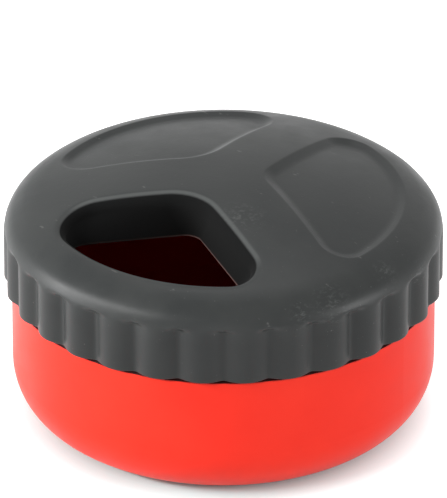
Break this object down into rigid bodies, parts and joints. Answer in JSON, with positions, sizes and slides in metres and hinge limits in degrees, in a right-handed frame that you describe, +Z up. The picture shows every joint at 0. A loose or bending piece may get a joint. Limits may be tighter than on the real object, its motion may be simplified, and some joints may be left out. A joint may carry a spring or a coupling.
{
  "type": "treat dispensing puck",
  "caption": "Round dog toy: red cup under a fluted rubber twist-off cap with one sector-shaped opening and a chute that lets treats fall out as it is rolled.",
  "frame": {"origin": "middle of the underside of the cup, on the surface that the puck stands on", "axes": "+Z up along the axis of the puck; -Y through the middle of the cap's opening"},
  "size_m": [0.1038, 0.1038, 0.062],
  "materials": {
    "cup_plastic": "satin red moulded plastic, slightly pebbled",
    "ring_plastic": "black moulded nylon",
    "cap_rubber": "dark grey moulded rubber with a fine mould texture"
  },
  "bodies": {
    "cup": {"treat_cup": "cup_plastic"},
    "ring": {"lock_ring": "ring_plastic"},
    "cap": {"rubber_cap": "cap_rubber"}
  },
  "joints": [
    {"name": "twist", "type": "hinge", "parent": "cup", "child": "ring", "pos_m": [0, 0, 0.0405], "axis": [0, 0, 1], "range_deg": [0, 75]},
    {"name": "cap_lift", "type": "slide", "parent": "ring", "child": "cap", "axis": [0, 0, 1], "range_m": [0, 0.05]}
  ]
}
